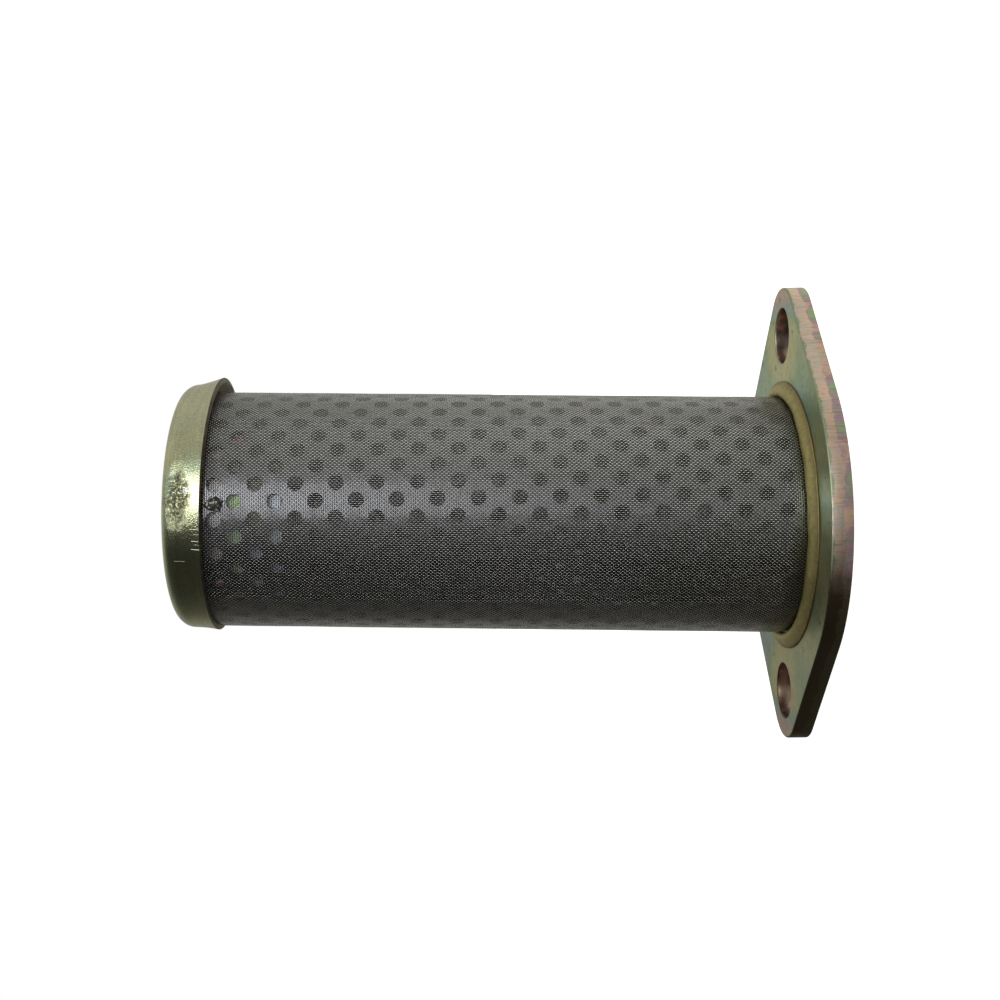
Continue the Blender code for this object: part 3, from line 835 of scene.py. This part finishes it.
def cap_material():
    """Olive and taupe film with fine grain, drawing marks up its side and streaks round it. The taupe
    towards +X and -X is film colour and painted reflection together.
    """
    material, tree, shader, place = new_material("Zinc cap", 0.3)
    wrap = add_node(tree, "UVMap", uv_map="Wrap").outputs["UV"]
    clouds = noise_value(tree, place, 8 * MILLIMETRE, 4.0, 0.55)
    # The marks follow the side's UV, and on the end face they follow the flat place
    level = axes_of(tree, wrap)["Y"]
    on_end = fade(tree, level, CAP_DEPTH - 1.0 * MILLIMETRE, CAP_DEPTH - 0.2 * MILLIMETRE)
    surface = add_node(tree, "Mix", {0: on_end, 4: wrap, 5: place}, data_type="VECTOR").outputs[1]
    drawn = noise_value(tree, stretched(tree, surface, (1.0, 0.15, 1.0)), 0.45 * MILLIMETRE, 3.0, 0.6)
    streaks = noise_value(tree, stretched(tree, surface, (0.10, 1.0, 1.0)), 0.8 * MILLIMETRE, 3.0, 0.6)
    speckle = noise_value(tree, place, 0.26 * MILLIMETRE, 2.0, 0.5)
    film = maths(tree, "MULTIPLY_ADD", clouds, 0.70, -0.20)
    film = maths(tree, "MULTIPLY_ADD", drawn, 0.05, film)
    film = maths(tree, "MULTIPLY_ADD", streaks, 0.12, film, clamp=True)
    # Towards +X and -X the side turns taupe: film colour, and a painted reflection of the pale surroundings
    across = maths(tree, "ABSOLUTE", axes_of(tree, place)["X"])
    across = maths(tree, "MULTIPLY_ADD", clouds, 9 * MILLIMETRE, across)
    taupe = fade(tree, across, 15 * MILLIMETRE, 28 * MILLIMETRE)
    colour = use_group(tree, film_group, {"Thickness": film})["Color"]
    colour = mix(tree, 0.30, colour, (0.66, 0.66, 0.46, 1.0))
    colour = laid_over(tree, colour, (0.60, 0.56, 0.40), taupe, 0.6)
    tone = maths(tree, "MULTIPLY_ADD", speckle, 0.9, maths(tree, "MULTIPLY_ADD", streaks, 0.6, 0.28))
    colour = toned(tree, 1.0, colour, tone)
    # The patch burnt by the spot weld: a brown haze with black flecks, and the bright weld beside it
    burn_distance = distance_from(tree, wrap, BURN_ANGLE, BURN_HEIGHT, 0.45)
    ragged = noise_value(tree, wrap, 1.5 * MILLIMETRE)
    ragged = maths(tree, "MULTIPLY_ADD", ragged, 3.0 * MILLIMETRE, burn_distance)
    haze = fade(tree, ragged, 4.8 * MILLIMETRE, 2.6 * MILLIMETRE)
    flecks = fade(tree, noise_value(tree, wrap, 0.55 * MILLIMETRE, 5.0, 0.85), 0.42, 0.56)
    burnt = maths(tree, "MULTIPLY", haze, flecks)
    weld_distance = distance_from(tree, wrap, SPOT_WELD_ANGLE, SPOT_WELD_HEIGHT, 0.7)
    ragged = noise_value(tree, wrap, 0.5 * MILLIMETRE)
    ragged = maths(tree, "MULTIPLY_ADD", ragged, 0.9 * MILLIMETRE, weld_distance)
    weld = fade(tree, ragged, 1.05 * MILLIMETRE, 0.75 * MILLIMETRE)
    colour = laid_over(tree, colour, (0.42, 0.36, 0.20), haze, 0.40)
    colour = laid_over(tree, colour, (0.06, 0.055, 0.03), burnt, 0.88)
    colour = mix(tree, weld, colour, (0.92, 0.90, 0.86, 1.0))
    marks = 0.0
    for angle, *sizes in SCRATCHES:
        mark = scratch(tree, wrap, math.radians(angle), *(size * MILLIMETRE for size in sizes))
        marks = maths(tree, "MAXIMUM", marks, mark)
    colour = mix(tree, marks, colour, (0.95, 0.92, 0.80, 1.0))
    height = maths(tree, "MULTIPLY_ADD", drawn, 0.15, speckle)
    height = maths(tree, "MULTIPLY_ADD", streaks, 0.08, height)
    height = maths(tree, "SUBTRACT", height, maths(tree, "MULTIPLY", burnt, 0.6))
    height = maths(tree, "SUBTRACT", height, marks)
    feed(tree, shader, Base_Color=colour, Normal=bumped(tree, height, 0.06 * MILLIMETRE, 0.8))
    roughness = maths(tree, "MULTIPLY_ADD", clouds, 0.12, 0.17)
    feed(tree, shader, Roughness=maths(tree, "MULTIPLY_ADD", burnt, 0.3, roughness))
    return material


def cut_edge_material():
    """The rim of the cup, sheared off after the drawing, and dark."""
    material, tree, shader, place = new_material("Sheared rim", 0.5)
    colour = ramp(tree, noise_value(tree, place, 1.2 * MILLIMETRE), [
        (0.35, (0.12, 0.10, 0.06)), (0.70, (0.24, 0.20, 0.13)),
    ])
    feed(tree, shader, Base_Color=colour)
    return material


def skirt_inside_material():
    """The inside of the flared skirt, matt, and painted pale: painted light inside the skirt."""
    material, tree, shader, place = new_material("Matt zinc in painted light", 0.6, 0.2)
    colour = ramp(tree, noise_value(tree, place, 2.5 * MILLIMETRE), [
        (0.30, (0.62, 0.56, 0.44)), (0.70, (0.80, 0.74, 0.62)),
    ])
    feed(tree, shader, Base_Color=colour)
    return material


def cap_profile():
    """From the middle of the end, over the corner, down the side and out along the flare."""
    corner = (CAP_RADIUS - CAP_CORNER, CAP_DEPTH - CAP_CORNER)
    profile = [(0.0, CAP_DEPTH)]
    profile += [(corner[0] * share, CAP_DEPTH) for share in (0.3, 0.6, 0.85)]
    for step in range(CAP_CORNER_STEPS + 1):
        turn = math.pi / 2 * (1.0 - step / CAP_CORNER_STEPS)
        profile.append((corner[0] + CAP_CORNER * math.cos(turn), corner[1] + CAP_CORNER * math.sin(turn)))
    for step in range(1, CAP_CORNER_STEPS + 1):
        profile.append((CAP_RADIUS, CAP_FLARE_LENGTH * (1.0 - step / CAP_CORNER_STEPS)))
    return profile


def flare(vertex):
    """Spreads the skirt towards its rim, most on one side and least on the other."""
    along = 1.0 - vertex.co.z / CAP_FLARE_LENGTH
    if along <= 0.0:
        return
    side = math.cos(math.atan2(vertex.co.y, vertex.co.x) - FLARE_WIDEST)
    spread = (FLARE_SPREAD + FLARE_UNEVEN * side) * along ** (1.6 - 0.5 * side)
    vertex.co.x *= 1.0 + spread / CAP_RADIUS
    vertex.co.y *= 1.0 + spread / CAP_RADIUS


bm = turned(cap_profile(), CAP_STEPS)
if max(bm.faces, key=lambda face: face.calc_center_median().z).normal.z < 0.0:
    bmesh.ops.reverse_faces(bm, faces=bm.faces)
for vertex in bm.verts:
    flare(vertex)
bm.normal_update()
bmesh.ops.solidify(bm, geom=bm.faces[:], thickness=CAP_WALL)
cylinder_wrap(bm, "Wrap", CAP_RADIUS)
for face in bm.faces:
    face.smooth = True
    middle = face.calc_center_median()
    inwards = face.normal.dot(middle * Vector((1.0, 1.0, 0.0))) < 0.0
    face.material_index = CAP_SIDE
    if middle.z < SKIRT_MATT_HEIGHT and inwards:
        face.material_index = SKIRT_INSIDE
    if middle.z < CAP_WALL / 2 and face.normal.z < -0.9:
        face.material_index = SHEARED_RIM
bm.transform(CAP_PLACE)
zinc = [cap_material(), cut_edge_material(), skirt_inside_material()]
cap = new_piece("end_cap_cup", bm, zinc, ["end_cap"])
cap.data.set_sharp_from_angle(angle=math.radians(40))


# Tack welds
# Three dark, lumpy drops of weld between the rim of the cap and the cloth. The photo shows one; the
# other two stand a third of a turn away.

TACK_ANGLES = [math.radians(-84.4 + 120 * index) for index in range(3)]
TACK_SIZE = Vector((1.0, 2.6, 2.9)) * MILLIMETRE
TACK_BELOW_RIM = 2.4 * MILLIMETRE


def tack_material():
    """Black scale, with bright metal on a few of its lumps."""
    material, tree, shader, place = new_material("Scorched weld", 0.7, 0.3)
    lumps = noise_value(tree, place, 0.6 * MILLIMETRE, 4.0, 0.6)
    colour = ramp(tree, lumps, [
        (0.42, (0.03, 0.027, 0.02)), (0.56, (0.10, 0.09, 0.07)), (0.64, (0.85, 0.83, 0.78)),
    ])
    feed(tree, shader, Base_Color=colour, Normal=bumped(tree, lumps, 0.25 * MILLIMETRE, 0.9))
    return material


scorched = tack_material()
for index, angle in enumerate(TACK_ANGLES):
    bm = bmesh.new()
    bmesh.ops.create_icosphere(bm, subdivisions=4, radius=0.5)
    for vertex in bm.verts:
        lump = vertex.co * 2.2 + Vector((7.0 * index, 3.0, 0.0))
        vertex.co *= 1.0 + 0.35 * noise.noise(lump) + 0.45 * noise.noise(lump * 2.2)
    bmesh.ops.scale(bm, vec=TACK_SIZE, verts=bm.verts)
    spot = Matrix.Translation((CLOTH_RADIUS + TACK_SIZE.x * 0.3, 0.0, RIM_HEIGHT - TACK_BELOW_RIM))
    bm.transform(TUBE_PLACE @ Matrix.Rotation(angle, 4, "Z") @ spot)
    for face in bm.faces:
        face.smooth = True
    new_piece(f"tack_weld_drop_{index + 1}", bm, [scorched], [f"tack_weld_{index + 1}"])


# Camera
# It looks across the tube from in front, turned on its side, so that the cap is on the left.

CAMERA_DISTANCE = 259.09 * MILLIMETRE
CAMERA_HEIGHT = 65.5 * MILLIMETRE
CAMERA_ASIDE = 0.889 * MILLIMETRE
CAMERA_ROUND = math.radians(3.37)
CAMERA_YAW = math.radians(-1.165)
CAMERA_ROLL = math.radians(0.573)
CAMERA_LENS = 45.76
CAMERA_SENSOR = 36.0
CAMERA_SHIFT = (0.0662, 0.0067)

camera_data = bpy.data.cameras.new("camera")
camera = bpy.data.objects.new("camera", camera_data)
bpy.context.scene.collection.objects.link(camera)
# Columns: the picture's right is down the tube, its top is +X, and the camera looks along +Y
on_its_side = Matrix(((0.0, 1.0, 0.0), (0.0, 0.0, -1.0), (-1.0, 0.0, 0.0))).to_4x4()
camera.matrix_world = (
    TUBE_PLACE
    @ Matrix.Rotation(CAMERA_ROUND, 4, "Z")
    @ Matrix.Translation((CAMERA_ASIDE, -CAMERA_DISTANCE, CAMERA_HEIGHT))
    @ Matrix.Rotation(-CAMERA_YAW, 4, "X")
    @ on_its_side
    @ Matrix.Rotation(CAMERA_ROLL, 4, "Z")
)
camera_data.sensor_width = CAMERA_SENSOR
camera_data.lens = CAMERA_LENS
camera_data.shift_x, camera_data.shift_y = CAMERA_SHIFT
camera_data.clip_start = 0.01
camera_data.clip_end = 20.0
bpy.context.scene.camera = camera


# Floor and light
# A pale floor that shows from above only, and a soft room. The room has one long window in front, is
# pale towards +X and dark towards -X. The camera sees it as plain white, and through the cloth as dark:
# painted shade for the inside of the tube.

FLOOR_RADIUS = 2500 * MILLIMETRE
FLOOR_GAP = 0.05 * MILLIMETRE
FLOOR_GLOW = 0.95


def seen_through_cloth(tree):
    """1 for what the camera sees through both skins of the cloth, and 0 for the rest."""
    return maths(tree, "GREATER_THAN", add_node(tree, "LightPath").outputs["Transparent Depth"], 1.5)


def greys(*stops):
    """Stops of a Color Ramp from (place, value)."""
    return [(place, (value, value, value)) for place, value in stops]


floor_material, tree, shader, _place = new_material("Pale floor", 0.8, 0.0)
through_cloth = seen_through_cloth(tree)
# Seen through the cloth the floor is painted dark: painted shade for the inside of the tube
glow = mix(tree, through_cloth, (1.0, 1.0, 1.0, 1.0), (0.0, 0.0, 0.0, 1.0))
shade = mix(tree, through_cloth, (0.86, 0.86, 0.86, 1.0), (0.03, 0.03, 0.03, 1.0))
from_above = maths(tree, "SUBTRACT", 1.0, add_node(tree, "NewGeometry").outputs["Backfacing"])
feed(tree, shader, Base_Color=shade, Emission_Color=glow, Alpha=from_above)
shader.inputs["Emission Strength"].default_value = FLOOR_GLOW
bm = bmesh.new()
bmesh.ops.create_circle(bm, cap_ends=True, segments=96, radius=FLOOR_RADIUS)
if bm.faces[:][0].normal.z < 0.0:
    bmesh.ops.reverse_faces(bm, faces=bm.faces)
floor_mesh = bpy.data.meshes.new("floor")
bm.to_mesh(floor_mesh)
bm.free()
floor_mesh.materials.append(floor_material)
floor = bpy.data.objects.new("floor", floor_mesh)
floor.location.z = -FLOOR_GAP
bpy.context.scene.collection.objects.link(floor)
floor.visible_diffuse = False
floor.visible_glossy = False
floor.visible_shadow = False

world = bpy.data.worlds.new("room")
world.use_nodes = True
bpy.context.scene.world = world
tree = world.node_tree
tree.nodes.clear()
way = add_node(tree, "TexCoord").outputs["Generated"]
axes = axes_of(tree, way)
towards = maths(tree, "MULTIPLY", axes["Y"], -1.0)
angle = maths(tree, "ARCTAN2", axes["X"], towards)
# The turn is 0 behind the part, 0.25 at -X, 0.5 in front of it and 0.75 at +X
turn = maths(tree, "MULTIPLY_ADD", angle, 1.0 / math.tau, 0.5)
brightness = ramp(tree, turn, [
    (0.00, (0.50, 0.49, 0.45)),
    (0.08, (0.30, 0.29, 0.26)),
    (0.16, (0.09, 0.09, 0.08)),
    (0.25, (0.032, 0.032, 0.029)),
    (0.45, (0.020, 0.020, 0.018)),
    (0.52, (0.27, 0.27, 0.265)),
    (0.72, (0.43, 0.43, 0.40)),
    (0.82, (0.52, 0.52, 0.48)),
    (0.90, (0.41, 0.41, 0.37)),
    (1.00, (0.50, 0.49, 0.45)),
])
up = axes["Z"]
brightness = mix(tree, fade(tree, up, -0.45, -0.75), brightness, (0.04, 0.04, 0.036, 1.0))
# The main light: a long window that reaches up beside the cap and is weaker below
window = ramp(tree, turn, greys((0.488, 0.0), (0.508, 1.0), (0.57, 1.0), (0.60, 0.0)))
window_height = ramp(
    tree, maths(tree, "MULTIPLY_ADD", up, 0.5, 0.5),
    greys((0.44, 0.0), (0.56, 1.0), (0.64, 3.3), (0.82, 3.5), (1.00, 2.0)),
)
window = mix(tree, 1.0, window, window_height, "MULTIPLY")
window = mix(tree, 1.0, window, (0.97, 1.00, 1.05, 1.0), "MULTIPLY")
brightness = mix(tree, 1.0, brightness, window, "ADD")
# A pale wall on the upper side, beside the flange
wall = ramp(tree, turn, [
    (0.66, (0.0, 0.0, 0.0)),
    (0.74, (0.34, 0.34, 0.32)),
    (0.86, (0.46, 0.46, 0.43)),
    (0.98, (0.0, 0.0, 0.0)),
])
wall = mix(tree, fade(tree, up, 0.25, -0.20), (0.0, 0.0, 0.0, 1.0), wall)
brightness = mix(tree, 1.0, brightness, wall, "ADD")
brightness = mix(tree, fade(tree, up, -0.75, -0.95), brightness, (0.90, 0.88, 0.82, 1.0))
brightness = mix(tree, fade(tree, up, 0.94, 1.0), brightness, (0.20, 0.20, 0.19, 1.0))
seen = add_node(tree, "LightPath").outputs["Is Camera Ray"]
# Seen through the cloth the backdrop is painted dark: painted shade for the inside of the tube
backdrop = mix(tree, seen_through_cloth(tree), (1.0, 1.0, 1.0, 1.0), (0.03, 0.03, 0.03, 1.0))
room = add_node(tree, "Background", {"Color": brightness, "Strength": 1.0})
white = add_node(tree, "Background", {"Color": backdrop, "Strength": 1.0})
either = add_node(tree, "MixShader", {0: seen, 1: room.outputs[0], 2: white.outputs[0]})
add_node(tree, "OutputWorld", {"Surface": either.outputs[0]})

view = bpy.context.scene.view_settings
view.view_transform = "Standard"
view.look = "None"
view.exposure = 0.0
view.gamma = 1.0
